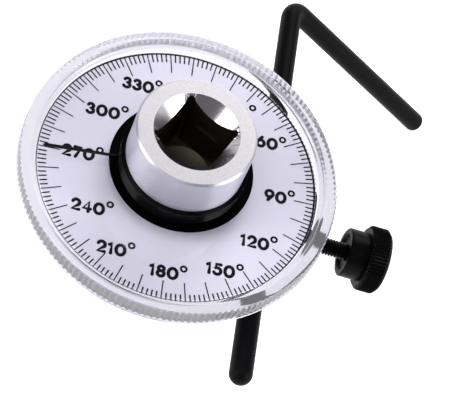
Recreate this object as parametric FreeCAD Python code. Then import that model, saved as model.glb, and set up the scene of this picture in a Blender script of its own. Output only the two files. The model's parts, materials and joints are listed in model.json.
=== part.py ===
import FreeCAD, Part

import math
import os

from FreeCAD import Placement, Rotation, Vector

# Torque angle gauge for a 1/2 in. square drive, in millimetres.
# The origin is on the drive axis, in the plane of the shoulder that meets the driven socket.
# +Z runs up the axis to the female square, and +X is square to a flat of both drive squares.

# Square drive
DRIVE_NOMINAL = 12.7          # 1/2 in. across flats
SOCKET_SQUARE = DRIVE_NOMINAL + 0.15
TANG_SQUARE = DRIVE_NOMINAL - 0.05
TANG_LENGTH = 15.5
TANG_CORNER_RADIUS = 0.656 * TANG_SQUARE  # turned radius that rounds the tang's four corners
TANG_TIP_CHAMFER = 1.2
SOCKET_DEPTH = 17.0
LEAD_IN_WIDTH = 2.875         # cone around the square
SOCKET_MOUTH_RADIUS = SOCKET_SQUARE / 2 + LEAD_IN_WIDTH
SOCKET_CORNER_RADIUS = 1.0    # left by the broach in the square's corners
DETENT_GROOVE_DEPTH = 7.5     # from the socket's face to the groove's middle
DETENT_GROOVE_WIDTH = 3.0
DETENT_GROOVE_CUT = 0.7       # into each flat
DRILL_POINT_HEIGHT = 1.5      # pilot drill's cone under the broached square

# Spindle body
SOCKET_WALL = 3.7             # outside the lead-in cone
SOCKET_RADIUS = SOCKET_MOUTH_RADIUS + SOCKET_WALL
SOCKET_BODY_LENGTH = 11.2
SOCKET_CHAMFER = 0.6
JOURNAL_RADIUS = 11.5
JOURNAL_CHAMFER = 0.6
LAND_LENGTH = 3.0             # below the circlip groove
GROOVE_DEPTH = 0.8
GROOVE_RADIUS = JOURNAL_RADIUS - GROOVE_DEPTH
GROOVE_WIDTH = 1.3

# Detent in the tang
BALL_RADIUS = 2.5
BALL_STANDS_OUT = 0.9
BALL_DROP = 8.5               # below the shoulder
BALL_CLEARANCE = 0.05
STAKE_DEPTH = 0.35
STAKE_CLEARANCE = 0.06
SPRING_WIRE = 0.5
SPRING_TURNS = 5
SPRING_ROOM = 5.0             # from the ball's back to the bottom of its hole

# Pointer
RING_WALL = 2.4
RING_RADIUS = JOURNAL_RADIUS + RING_WALL
RING_HEIGHT = 3.8
RING_GROOVES = 4
RING_GROOVE_CUT = 0.25
RING_GROOVE_WIDTH = 0.3
NEEDLE_REACH = 30.1
NEEDLE_ROOT_WIDTH = 0.45
NEEDLE_TIP_WIDTH = 0.65
NEEDLE_THICKNESS = 0.4
NEEDLE_POINT = 0.5
NEEDLE_RISE = 0.25            # above the ring's lower face
NEEDLE_ANGLE = -145.2         # at rest, counter-clockwise from +X

# Bush that carries the dial and the holder
RUNNING_CLEARANCE = 0.05
FACE_CLEARANCE = 0.05
BUSH_WALL = 1.5
BUSH_RADIUS = JOURNAL_RADIUS + BUSH_WALL
FLANGE_LAND_RADIUS = RING_RADIUS + 0.1    # where the flange's slope begins
FLANGE_SLOPE = 1.8
FLANGE_RADIUS = FLANGE_LAND_RADIUS + FLANGE_SLOPE
FLANGE_EDGE = 0.15
FLANGE_HEIGHT = 1.7
RING_GAP = 0.2                # pointer ring over the flange

# Dial
DIAL_RADIUS = 34.8            # over the knurl's ridges
COVER_THICKNESS = 2.8         # under the window
RIM_WIDTH = 2.2               # top of the raised rim
RIM_SLOPE = 1.2               # width of the slope from the window up to the rim
RIM_RISE = 1.75               # raised rim over the window
RIM_ROUND = 0.8               # outer shoulder of the rim
RIM_INNER_ROUND = 0.5
KNURL_DEPTH = 0.35
KNURL_RIDGES = 164
LIP_STANDS_OUT = 0.15         # plain lip under the knurl
LIP_HEIGHT = 0.55
RIM_INNER = DIAL_RADIUS - RIM_WIDTH
WINDOW_RADIUS = RIM_INNER - RIM_SLOPE     # flat middle of the cover's top
PLATE_RADIUS = WINDOW_RADIUS + 0.3
PLATE_THICKNESS = 0.6
PLATE_HOLE_CLEARANCE = 0.2
WASHER_THICKNESS = 0.75
WASHER_WIDTH = 6.5

# Arm holder
HUB_WALL = 4.5
HUB_RADIUS = BUSH_RADIUS + HUB_WALL
HUB_HEIGHT = 8.0
HUB_EDGE = 0.6
HOLDER_ANGLE = 29.5           # thumb screw's axis at rest, counter-clockwise from +X
BLOCK_WIDTH = 15.0
BLOCK_REACH = 9.9             # outer face, from the rod's axis
BLOCK_INNER = BUSH_RADIUS + 2.0           # hidden end inside the hub, from the drive axis
BLOCK_ABOVE = 8.3             # top and underside, from the rod's axis
BLOCK_BELOW = 4.7
BLOCK_CORNER = 2.5            # upright outer corners
BLOCK_EDGE = 1.0
ARM_BESIDE_HUB = 4.6          # rod's axis from the hub's side
ARM_OFFSET = HUB_RADIUS + ARM_BESIDE_HUB
ARM_BELOW_HUB = 2.75          # rod's axis under the hub's lower face
SCREW_TILT = 5.5              # dip of the block and its thumb screw about the rod's axis
THRUST_THICKNESS = 1.0
THRUST_RADIUS = HUB_RADIUS - 1.0
CIRCLIP_PLAY = 0.1            # under the thrust washer
CIRCLIP_THICKNESS = 1.2
CIRCLIP_WIDTH = 2.4
CIRCLIP_GAP_ANGLE = 50.0
CIRCLIP_LUG_RADIUS = 2.0
CIRCLIP_LUG_HOLE = 0.8

# Arm rod
ROD_RADIUS = 2.375            # 3/16 in. rod
GRIP_RADIUS = 2.6             # over the rolled knurl of the lower end
GRIP_LENGTH = 25.0
ROD_BELOW = 39.0              # from the thumb screw's axis to the lower tip
ROD_ABOVE = 60.6              # from the thumb screw's axis to the bend's corner
ROD_BEND_RADIUS = 3.4
LEG_LENGTH = 54.6             # from the bend's corner to the tip
LEG_DROP = 39.6               # below the dial's plane
LEG_END_ROUND = 1.6
ROD_PLAY = 0.4                # all round the knurl in the cross hole

# Thumb screw, with its lengths from the rod's axis
STUD_RADIUS = 1.95            # M4
STUD_TIP_GAP = 0.3            # to the rod, as drawn
STUD_TIP_CHAMFER = 0.5
THREAD_CLEARANCE = 0.05
INSERT_RADIUS = 3.2
INSERT_LENGTH = 6.5
INSERT_KERFS = 16
INSERT_KERF_DEPTH = 0.2
COLLAR_START = 19.6
COLLAR_RADIUS = 5.55
COLLAR_LENGTH = 4.4
KNOB_RADIUS = 7.45
KNOB_THICKNESS = 4.7
KNOB_CHAMFER = 0.6
KNOB_RIDGES = 60
KNOB_KNURL_DEPTH = 0.3
KNOB_STUD_DEPTH = 5.5         # stud's end inside the knob, from the collar's start

# Heights of the stack over the shoulder, from the circlip's groove up
GROOVE_TOP = LAND_LENGTH + GROOVE_WIDTH
THRUST_BOTTOM = GROOVE_TOP + CIRCLIP_PLAY
THRUST_TOP = THRUST_BOTTOM + THRUST_THICKNESS
HUB_BOTTOM = THRUST_TOP + FACE_CLEARANCE
HUB_TOP = HUB_BOTTOM + HUB_HEIGHT
WASHER_TOP = HUB_TOP + WASHER_THICKNESS
PLATE_BOTTOM = WASHER_TOP + FACE_CLEARANCE
COVER_BOTTOM = PLATE_BOTTOM + PLATE_THICKNESS
COVER_TOP = COVER_BOTTOM + COVER_THICKNESS
FLANGE_BOTTOM = COVER_TOP + FACE_CLEARANCE
FLANGE_TOP = FLANGE_BOTTOM + FLANGE_HEIGHT
RING_BOTTOM = FLANGE_TOP + RING_GAP
SOCKET_FOOT = RING_BOTTOM + RING_HEIGHT
SPINDLE_LENGTH = SOCKET_FOOT + SOCKET_BODY_LENGTH
ARM_HEIGHT = HUB_BOTTOM - ARM_BELOW_HUB
BLOCK_TOP = ARM_HEIGHT + BLOCK_ABOVE
BLOCK_BOTTOM = ARM_HEIGHT - BLOCK_BELOW
BUSH_BORE = JOURNAL_RADIUS + RUNNING_CLEARANCE
BALL_CENTRE = TANG_SQUARE / 2 + BALL_STANDS_OUT - BALL_RADIUS
SPRING_END = BALL_CENTRE - BALL_RADIUS - SPRING_ROOM
STUD_START = ROD_RADIUS + STUD_TIP_GAP
KNOB_START = COLLAR_START + COLLAR_LENGTH

UP = Vector(0, 0, 1)
ALONG_X = Vector(1, 0, 0)


def revolved(points):
    """Solid turned about Z from (radius, height) points."""
    outline = [Vector(r, 0, z) for r, z in points]
    wire = Part.makePolygon(outline + outline[:1])
    return Part.Face(wire).revolve(Vector(), UP, 360)


def ring(inner, outer, bottom, top):
    return revolved([(inner, bottom), (outer, bottom), (outer, top), (inner, top)])


def along_x(shape, start, height=0.0):
    """Lays a shape made along Z onto the X direction, from the distance start."""
    shape.Placement = Placement(Vector(start, 0, height), Rotation(Vector(0, 1, 0), 90))
    return shape


def turned(shape, angle):
    """Turns a shape about the drive axis."""
    shape.rotate(Vector(), UP, angle)
    return shape


def on_clamp(shape):
    """Lays a shape made along Z from the rod's axis onto the thumb screw's axis at rest."""
    return settled(along_x(shape, ARM_OFFSET, ARM_HEIGHT))


def settled(shape):
    """Tilts a shape about the rod's axis with the clamp block, then turns it with the holder."""
    shape.rotate(Vector(ARM_OFFSET, 0, ARM_HEIGHT), Vector(0, 1, 0), SCREW_TILT)
    return turned(shape, HOLDER_ANGLE)


def ridged_disc(root, crest, ridges, bottom, height):
    """Straight-knurled disc: one V ridge per pitch."""
    points = []
    for i in range(2 * ridges):
        angle = math.pi * i / ridges
        radius = crest if i % 2 else root
        points.append(Vector(radius * math.cos(angle), radius * math.sin(angle), bottom))
    wire = Part.makePolygon(points + points[:1])
    return Part.Face(wire).extrude(Vector(0, 0, height))


def square_prism(across, bottom, height):
    return Part.makeBox(across, across, height, Vector(-across / 2, -across / 2, bottom))


def ball_hole():
    """Blind cross hole of the tang, with its staked mouth, along +X."""
    face = TANG_SQUARE / 2
    bore = BALL_RADIUS + BALL_CLEARANCE
    mouth = math.sqrt(BALL_RADIUS ** 2 - (BALL_RADIUS - BALL_STANDS_OUT) ** 2) + STAKE_CLEARANCE
    under = math.sqrt(BALL_RADIUS ** 2 - (BALL_RADIUS - BALL_STANDS_OUT - STAKE_DEPTH) ** 2)
    lip = min(under + STAKE_CLEARANCE, bore)
    points = [(0, SPRING_END), (bore, SPRING_END), (bore, face - STAKE_DEPTH), (lip, face - STAKE_DEPTH)]
    points += [(mouth, face), (mouth, face + STAKE_DEPTH), (0, face + STAKE_DEPTH)]
    return along_x(revolved(points), 0, -BALL_DROP)


def drive_tang():
    """Male square with turned corners, chamfered tip and the detent's cross hole."""
    tang = square_prism(TANG_SQUARE, -TANG_LENGTH, TANG_LENGTH + LAND_LENGTH / 2)
    tip = TANG_CORNER_RADIUS - TANG_TIP_CHAMFER
    envelope = revolved([(0, -TANG_LENGTH), (tip, -TANG_LENGTH),
                         (TANG_CORNER_RADIUS, TANG_TIP_CHAMFER - TANG_LENGTH),
                         (TANG_CORNER_RADIUS, LAND_LENGTH / 2), (0, LAND_LENGTH / 2)])
    return tang.common(envelope).cut(ball_hole())


def socket_cavity():
    """Female square with its lead-in cone, detent groove and drill point."""
    floor = SPINDLE_LENGTH - SOCKET_DEPTH
    half = SOCKET_SQUARE / 2
    cavity = square_prism(SOCKET_SQUARE, floor, SOCKET_DEPTH + 1)
    corners = [e for e in cavity.Edges if e.BoundBox.ZLength > SOCKET_DEPTH]
    cavity = cavity.makeFillet(SOCKET_CORNER_RADIUS, corners)
    cone_depth = SOCKET_MOUTH_RADIUS - half
    cone_start = Vector(0, 0, SPINDLE_LENGTH - cone_depth)
    cone = Part.makeCone(half, SOCKET_MOUTH_RADIUS + 1, cone_depth + 1, cone_start)
    groove_bottom = SPINDLE_LENGTH - DETENT_GROOVE_DEPTH - DETENT_GROOVE_WIDTH / 2
    groove = Part.makeCylinder(half + DETENT_GROOVE_CUT, DETENT_GROOVE_WIDTH, Vector(0, 0, groove_bottom))
    point_start = Vector(0, 0, floor - DRILL_POINT_HEIGHT)
    point = Part.makeCone(0, half - BALL_CLEARANCE, DRILL_POINT_HEIGHT, point_start)
    return cavity.fuse([cone, groove, point])


def drive_spindle():
    """One steel turning: socket body, journal, circlip groove, shoulder and tang."""
    body = revolved([
        (0, 0), (JOURNAL_RADIUS - JOURNAL_CHAMFER, 0), (JOURNAL_RADIUS, JOURNAL_CHAMFER),
        (JOURNAL_RADIUS, LAND_LENGTH), (GROOVE_RADIUS, LAND_LENGTH), (GROOVE_RADIUS, GROOVE_TOP),
        (JOURNAL_RADIUS, GROOVE_TOP), (JOURNAL_RADIUS, SOCKET_FOOT),
        (SOCKET_RADIUS - SOCKET_CHAMFER / 2, SOCKET_FOOT),
        (SOCKET_RADIUS, SOCKET_FOOT + SOCKET_CHAMFER / 2),
        (SOCKET_RADIUS, SPINDLE_LENGTH - SOCKET_CHAMFER),
        (SOCKET_RADIUS - SOCKET_CHAMFER, SPINDLE_LENGTH), (0, SPINDLE_LENGTH)])
    return body.fuse(drive_tang()).cut(socket_cavity()).removeSplitter()


def detent_ball():
    return Part.makeSphere(BALL_RADIUS, Vector(BALL_CENTRE, 0, -BALL_DROP))


def detent_spring():
    """Square-wire coil from the bottom of the cross hole to the ball's back."""
    coil_radius = BALL_RADIUS - SPRING_WIRE
    pitch = (SPRING_ROOM - SPRING_WIRE) / SPRING_TURNS
    half = SPRING_WIRE / 2
    path = Part.makeHelix(pitch, pitch * SPRING_TURNS, coil_radius)
    square = ((-half, -half), (half, -half), (half, half), (-half, half))
    corners = [Vector(coil_radius + x, 0, z) for x, z in square]
    section = Part.makePolygon(corners + corners[:1])
    coil = Part.Wire(path.Edges).makePipeShell([section], True, True)
    return along_x(coil, SPRING_END + SPRING_WIRE / 2, -BALL_DROP)


def needle_blade():
    """Flat needle that widens a little to its pointed end, before it is turned to its angle."""
    root = NEEDLE_ROOT_WIDTH / 2
    tip = NEEDLE_TIP_WIDTH / 2
    start = JOURNAL_RADIUS + RUNNING_CLEARANCE
    height = RING_BOTTOM + NEEDLE_RISE
    outline = [(start, -root), (NEEDLE_REACH - NEEDLE_POINT, -tip), (NEEDLE_REACH, 0),
               (NEEDLE_REACH - NEEDLE_POINT, tip), (start, root)]
    points = [Vector(x, y, height) for x, y in outline]
    blade = Part.Face(Part.makePolygon(points + points[:1]))
    return blade.extrude(Vector(0, 0, NEEDLE_THICKNESS))


def pointer_needle():
    return turned(needle_blade(), NEEDLE_ANGLE)


def pointer_ring():
    """Grooved ring pressed on the journal, slotted for the needle's root."""
    points = [(JOURNAL_RADIUS, RING_BOTTOM), (RING_RADIUS, RING_BOTTOM)]
    pitch = RING_HEIGHT / (RING_GROOVES + 1)
    for i in range(1, RING_GROOVES + 1):
        middle = RING_BOTTOM + i * pitch
        points.append((RING_RADIUS, middle - RING_GROOVE_WIDTH / 2))
        points.append((RING_RADIUS - RING_GROOVE_CUT, middle))
        points.append((RING_RADIUS, middle + RING_GROOVE_WIDTH / 2))
    points += [(RING_RADIUS, SOCKET_FOOT), (JOURNAL_RADIUS, SOCKET_FOOT)]
    return revolved(points).cut(pointer_needle())


def centre_bush():
    """Flanged bush: its flange holds the dial down and its barrel is pressed into the hub."""
    return revolved([
        (BUSH_BORE, HUB_BOTTOM), (BUSH_RADIUS, HUB_BOTTOM), (BUSH_RADIUS, FLANGE_BOTTOM),
        (FLANGE_RADIUS, FLANGE_BOTTOM), (FLANGE_RADIUS, FLANGE_BOTTOM + FLANGE_EDGE),
        (FLANGE_LAND_RADIUS, FLANGE_TOP), (BUSH_BORE, FLANGE_TOP)])


def dial_cover():
    """Clear dish over the dial: flat window, raised rim with a knurled wall, and a thin lip."""
    hole = BUSH_RADIUS + RUNNING_CLEARANCE
    rim_top = COVER_TOP + RIM_RISE
    envelope = revolved([(hole, COVER_BOTTOM), (DIAL_RADIUS, COVER_BOTTOM), (DIAL_RADIUS, rim_top),
                         (RIM_INNER, rim_top), (WINDOW_RADIUS, COVER_TOP), (hole, COVER_TOP)])
    for radius, rounding in ((DIAL_RADIUS, RIM_ROUND), (RIM_INNER, RIM_INNER_ROUND)):
        edge = [e for e in envelope.Edges if e.Closed and e.BoundBox.ZMin > COVER_TOP + RIM_RISE / 2
                and abs(e.Curve.Radius - radius) < RUNNING_CLEARANCE]
        envelope = envelope.makeFillet(rounding, edge)
    height = rim_top - COVER_BOTTOM
    ridged = ridged_disc(DIAL_RADIUS - KNURL_DEPTH, DIAL_RADIUS, KNURL_RIDGES, COVER_BOTTOM, height)
    lip = ring(WINDOW_RADIUS, DIAL_RADIUS + LIP_STANDS_OUT, COVER_BOTTOM, COVER_BOTTOM + LIP_HEIGHT)
    return ridged.common(envelope).fuse(lip).removeSplitter()


def dial_plate():
    hole = BUSH_RADIUS + PLATE_HOLE_CLEARANCE
    return ring(hole, PLATE_RADIUS, PLATE_BOTTOM, COVER_BOTTOM)


def friction_washer():
    hole = BUSH_RADIUS + PLATE_HOLE_CLEARANCE
    return ring(hole, hole + WASHER_WIDTH, HUB_TOP, WASHER_TOP)


def clamp_block():
    """Rounded block at the end of the holder, before it is bored."""
    face = ARM_OFFSET + BLOCK_REACH
    corner = Vector(BLOCK_INNER, -BLOCK_WIDTH / 2, BLOCK_BOTTOM)
    block = Part.makeBox(face - BLOCK_INNER, BLOCK_WIDTH, BLOCK_TOP - BLOCK_BOTTOM, corner)
    upright = [e for e in block.Edges if e.BoundBox.XMin > ARM_OFFSET and e.BoundBox.ZLength > BLOCK_CORNER]
    block = block.makeFillet(BLOCK_CORNER, upright)
    level = [e for e in block.Edges if e.BoundBox.ZLength < BLOCK_EDGE]
    rims = [e for e in level if e.BoundBox.XMax > BLOCK_INNER + BLOCK_EDGE]
    return block.makeFillet(BLOCK_EDGE, rims)


def arm_holder():
    """Hub around the bush and the clamp block with its cross hole and insert seat."""
    hub = revolved([
        (BUSH_RADIUS, HUB_BOTTOM), (HUB_RADIUS - HUB_EDGE, HUB_BOTTOM), (HUB_RADIUS, HUB_BOTTOM + HUB_EDGE),
        (HUB_RADIUS, HUB_TOP - HUB_EDGE), (HUB_RADIUS - HUB_EDGE, HUB_TOP), (BUSH_RADIUS, HUB_TOP)])
    washer_room = Part.makeCylinder(THRUST_RADIUS + 2 * ROD_PLAY, HUB_BOTTOM - BLOCK_BOTTOM,
                                    Vector(0, 0, BLOCK_BOTTOM))
    barrel_room = Part.makeCylinder(BUSH_RADIUS, HUB_HEIGHT, Vector(0, 0, HUB_BOTTOM))
    block = settled(clamp_block()).cut(washer_room).cut(barrel_room)
    hole_start = Vector(ARM_OFFSET, -BLOCK_WIDTH, ARM_HEIGHT)
    hole = Part.makeCylinder(GRIP_RADIUS + ROD_PLAY, 2 * BLOCK_WIDTH, hole_start, Vector(0, 1, 0))
    hole = turned(hole, HOLDER_ANGLE)
    seat = Part.makeCylinder(INSERT_RADIUS, INSERT_LENGTH, Vector(0, 0, BLOCK_REACH - INSERT_LENGTH))
    way = Part.makeCylinder(STUD_RADIUS + THREAD_CLEARANCE, BLOCK_REACH)
    return hub.fuse(block).cut(hole).cut(on_clamp(seat)).cut(on_clamp(way)).removeSplitter()


def threaded_insert():
    """Brass insert with a kerfed outside; its thread is drawn as a plain bore."""
    start = BLOCK_REACH - INSERT_LENGTH
    bore = Part.makeCylinder(STUD_RADIUS + THREAD_CLEARANCE, INSERT_LENGTH, Vector(0, 0, start))
    body = ridged_disc(INSERT_RADIUS - INSERT_KERF_DEPTH, INSERT_RADIUS, INSERT_KERFS, start, INSERT_LENGTH)
    return on_clamp(body.cut(bore))


def thumb_screw_stud():
    end = COLLAR_START + KNOB_STUD_DEPTH
    tip = STUD_RADIUS - STUD_TIP_CHAMFER
    stud = revolved([(0, STUD_START), (tip, STUD_START), (STUD_RADIUS, STUD_START + STUD_TIP_CHAMFER),
                     (STUD_RADIUS, end), (0, end)])
    return on_clamp(stud)


def thumb_knob():
    """Knurled head and plain collar, bored for the stud."""
    face = KNOB_START + KNOB_THICKNESS
    root = KNOB_RADIUS - KNOB_KNURL_DEPTH
    head = ridged_disc(root, KNOB_RADIUS, KNOB_RIDGES, KNOB_START, KNOB_THICKNESS)
    envelope = revolved([(0, KNOB_START), (KNOB_RADIUS - KNOB_CHAMFER, KNOB_START),
                         (KNOB_RADIUS, KNOB_START + KNOB_CHAMFER), (KNOB_RADIUS, face - KNOB_CHAMFER),
                         (KNOB_RADIUS - KNOB_CHAMFER, face), (0, face)])
    collar = revolved([(0, COLLAR_START), (COLLAR_RADIUS - KNOB_CHAMFER / 2, COLLAR_START),
                       (COLLAR_RADIUS, COLLAR_START + KNOB_CHAMFER / 2),
                       (COLLAR_RADIUS, KNOB_START + KNOB_CHAMFER), (0, KNOB_START + KNOB_CHAMFER)])
    bore = Part.makeCylinder(STUD_RADIUS, KNOB_STUD_DEPTH, Vector(0, 0, COLLAR_START))
    knob = head.common(envelope).fuse(collar).cut(bore)
    return on_clamp(knob)


def arm_rod():
    """Round rod bent once, with a thicker knurled lower end and rounded tips."""
    along = Vector(0, 1, 0)
    drop = math.radians(LEG_DROP)
    leg_way = ALONG_X * math.cos(drop) - UP * math.sin(drop)
    crossing = Vector(ARM_OFFSET, 0, ARM_HEIGHT)
    lower = crossing - along * ROD_BELOW
    corner = crossing + along * ROD_ABOVE
    bend_start = corner - along * ROD_BEND_RADIUS
    bend_end = corner + leg_way * ROD_BEND_RADIUS
    inward = (leg_way - along).normalize()
    bend_middle = corner + inward * ROD_BEND_RADIUS * (math.sqrt(2) - 1)
    leg_end = corner + leg_way * LEG_LENGTH
    straight = Part.makeCylinder(ROD_RADIUS, (bend_start - lower).Length - GRIP_LENGTH,
                                 lower + along * GRIP_LENGTH, along)
    arc = Part.Wire(Part.Arc(bend_start, bend_middle, bend_end).toShape())
    section = Part.Wire(Part.makeCircle(ROD_RADIUS, bend_start, along))
    bend = arc.makePipeShell([section], True, False)
    leg = Part.makeCylinder(ROD_RADIUS, (leg_end - bend_end).Length, bend_end, leg_way)
    tip = [e for e in leg.Edges if e.Closed and (e.CenterOfMass - leg_end).Length < ROD_RADIUS / 2]
    leg = leg.makeFillet(LEG_END_ROUND, tip)
    grip = Part.makeCylinder(GRIP_RADIUS, GRIP_LENGTH - GRIP_RADIUS, lower + along * GRIP_RADIUS, along)
    grip_end = lower + along * GRIP_LENGTH
    taper = [e for e in grip.Edges if e.Closed and (e.CenterOfMass - grip_end).Length < ROD_RADIUS / 2]
    grip = grip.makeChamfer(GRIP_RADIUS - ROD_RADIUS, taper)
    dome = Part.makeSphere(GRIP_RADIUS, lower + along * GRIP_RADIUS)
    rod = straight.fuse([bend, leg, grip, dome]).removeSplitter()
    return turned(rod, HOLDER_ANGLE)


def thrust_washer():
    return ring(BUSH_BORE, THRUST_RADIUS, THRUST_BOTTOM, THRUST_TOP)


def retaining_circlip():
    """External circlip with two pierced lugs, sitting in the journal's groove."""
    bottom = GROOVE_TOP - CIRCLIP_THICKNESS
    outer = GROOVE_RADIUS + CIRCLIP_WIDTH
    half_gap = math.radians(CIRCLIP_GAP_ANGLE / 2)
    far = 2 * outer
    wedge = [Vector(0, 0, bottom), Vector(far, -far * math.tan(half_gap), bottom),
             Vector(far, far * math.tan(half_gap), bottom)]
    mouth = Part.Face(Part.makePolygon(wedge + wedge[:1])).extrude(Vector(0, 0, CIRCLIP_THICKNESS))
    clip = ring(GROOVE_RADIUS, outer, bottom, GROOVE_TOP).cut(mouth)
    for side in (-1, 1):
        angle = side * (half_gap + CIRCLIP_LUG_RADIUS / outer)
        centre = Vector(math.cos(angle), math.sin(angle), 0) * (outer - CIRCLIP_LUG_RADIUS / 2)
        centre.z = bottom
        lug = Part.makeCylinder(CIRCLIP_LUG_RADIUS, CIRCLIP_THICKNESS, centre)
        journal = Part.makeCylinder(JOURNAL_RADIUS, CIRCLIP_THICKNESS, Vector(0, 0, bottom))
        hole = Part.makeCylinder(CIRCLIP_LUG_HOLE, CIRCLIP_THICKNESS, centre)
        clip = clip.fuse(lug.cut(journal)).cut(hole)
    return clip.removeSplitter()


SUB_PARTS = [
    drive_spindle, detent_ball, detent_spring, pointer_ring, pointer_needle,
    thrust_washer, retaining_circlip, centre_bush, arm_holder, friction_washer,
    threaded_insert, dial_cover, dial_plate, arm_rod, thumb_screw_stud, thumb_knob]

os.makedirs("parts", exist_ok=True)
for make in SUB_PARTS:
    shape = make()
    name = make.__name__
    if not shape.isValid() or len(shape.Solids) != 1:
        raise ValueError(name + " is not one valid solid")
    shape.exportStep("parts/" + name + ".step")
    print(name, round(shape.Volume, 2), "cubic mm")
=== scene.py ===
import json
import math

import bmesh
import bpy
from mathutils import Matrix, Vector


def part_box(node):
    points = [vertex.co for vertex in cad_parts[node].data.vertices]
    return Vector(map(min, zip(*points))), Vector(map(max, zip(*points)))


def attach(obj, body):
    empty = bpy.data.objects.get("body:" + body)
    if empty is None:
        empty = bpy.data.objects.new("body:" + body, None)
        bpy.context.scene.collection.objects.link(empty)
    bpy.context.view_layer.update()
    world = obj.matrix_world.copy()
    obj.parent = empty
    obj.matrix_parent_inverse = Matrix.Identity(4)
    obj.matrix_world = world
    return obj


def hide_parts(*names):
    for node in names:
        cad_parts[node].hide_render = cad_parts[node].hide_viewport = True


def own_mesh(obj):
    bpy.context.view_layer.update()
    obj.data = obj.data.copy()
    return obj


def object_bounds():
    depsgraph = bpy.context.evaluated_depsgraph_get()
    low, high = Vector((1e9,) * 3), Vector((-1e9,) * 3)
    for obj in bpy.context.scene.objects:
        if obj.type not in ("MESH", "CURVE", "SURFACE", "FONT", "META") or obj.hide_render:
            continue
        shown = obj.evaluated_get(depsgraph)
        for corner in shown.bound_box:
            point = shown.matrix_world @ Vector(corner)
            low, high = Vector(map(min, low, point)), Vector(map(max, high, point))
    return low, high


# Torque angle gauge. Lengths are millimetres until a mesh is made, and MM turns them to metres.
MM = 0.001

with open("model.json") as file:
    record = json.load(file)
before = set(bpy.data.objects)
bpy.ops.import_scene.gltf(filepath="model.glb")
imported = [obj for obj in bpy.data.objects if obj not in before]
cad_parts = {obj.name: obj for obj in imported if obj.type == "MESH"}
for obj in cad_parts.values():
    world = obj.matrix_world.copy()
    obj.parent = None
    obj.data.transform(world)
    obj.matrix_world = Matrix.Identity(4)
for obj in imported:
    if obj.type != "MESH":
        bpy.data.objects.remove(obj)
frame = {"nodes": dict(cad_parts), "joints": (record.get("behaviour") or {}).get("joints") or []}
cad_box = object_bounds()


def node_box(name):
    """Lowest and highest corner of a CAD node, in mm."""
    low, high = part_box(name)
    return low / MM, high / MM


def joint(name):
    """A joint of the frame, by its name."""
    return next(j for j in frame["joints"] if j["name"] == name)


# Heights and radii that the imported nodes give
SPINDLE_LOW, SPINDLE_HIGH = node_box("drive_spindle")
SPRING_LOW, SPRING_HIGH = node_box("detent_spring")
RING_LOW, RING_HIGH = node_box("pointer_ring")
BUSH_LOW, BUSH_HIGH = node_box("centre_bush")
COVER_LOW, COVER_HIGH = node_box("dial_cover")
PLATE_LOW, PLATE_HIGH = node_box("dial_plate")
THRUST_RADIUS = node_box("thrust_washer")[1].x
HUB_LOW = BUSH_LOW.z
HUB_HIGH = node_box("friction_washer")[0].z
SOCKET_RADIUS = SPINDLE_HIGH.x
SOCKET_FOOT = RING_HIGH.z
SOCKET_TOP = SPINDLE_HIGH.z
TANG_TIP = SPINDLE_LOW.z

# Ways and travels that the joints give
ARM_WAY = Vector(joint("arm_slide")["axis"]).normalized()
SCREW_WAY = Vector(joint("thumb_screw_turn")["axis"]).normalized()
SCREW_POINT = Vector(joint("thumb_screw_turn")["pos_m"]) / MM
HOLDER_WAY = Vector((SCREW_WAY.x, SCREW_WAY.y, 0)).normalized()
SCREW_REACH = 10                # from the rod's axis to the screw joint's point
ROD_CROSSING = SCREW_POINT - SCREW_WAY * SCREW_REACH
ARM_OFFSET = math.hypot(ROD_CROSSING.x, ROD_CROSSING.y)

# Camera, with its turns in degrees
FOCAL_LENGTH = 176.4
SENSOR_WIDTH = 36
NEAREST = 20
FARTHEST = 20000
CAMERA_PLACE = Vector((74.433, -241.004, 415.893))
CAMERA_TURNS = (29.4581, -13.5526, 37.1226)

# Spindle
JOURNAL_RADIUS = 11.5
JOURNAL_CHAMFER = 0.6
LAND_LENGTH = 3                 # below the circlip's groove
CLIP_GROOVE_RADIUS = 10.7
CLIP_GROOVE_WIDTH = 1.3
FOOT_CHAMFER = 0.3
TOP_CHAMFER = 0.45
EDGE_BREAK = 0.1                # edges of the spindle and the bush
FEMALE_SQUARE = 12.85
SOCKET_DEPTH = 17
MOUTH_RADIUS = 9.3              # wide end of the lead-in cone
RELIEF_RADIUS = 1.05            # round reliefs in the square's corners
RELIEF_REACH = 7.9              # from the drive axis to their middles
DETENT_GROOVE_DROP = 7.5        # from the socket's face to the groove's middle
DETENT_GROOVE_WIDTH = 3
DETENT_GROOVE_CUT = 0.7         # into each flat
DRILL_CLEARANCE = 0.05          # the drill is this much smaller in radius than the square
DRILL_POINT = 1.5
MALE_SQUARE = 12.65
TANG_ROOT = 1.5                 # where the square ends inside the journal
TANG_ROUND = 8.3                # turned radius of the tang's four corners
TANG_TIP_CHAMFER = 1.2
BALL_HOLE_RADIUS = 2.45
BALL_HOLE_REACH = 4             # each way from the drive axis
BALL_DROP = 8.5                 # from the shoulder to the ball
SPRING_WIRE = 0.25              # radius
SPRING_TURNS = 5

# Pointer ring and bush
RING_GROOVES = 4
RING_GROOVE_WIDTH = 0.4
RING_GROOVE_CUT = 0.25
RING_EDGE_BREAK = 0.06
RUNNING_CLEARANCE = 0.05
BARREL_RADIUS = 13
FLANGE_EDGE = 0.15              # height of the flange's outer edge
FLANGE_TOP_RADIUS = 14

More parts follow.
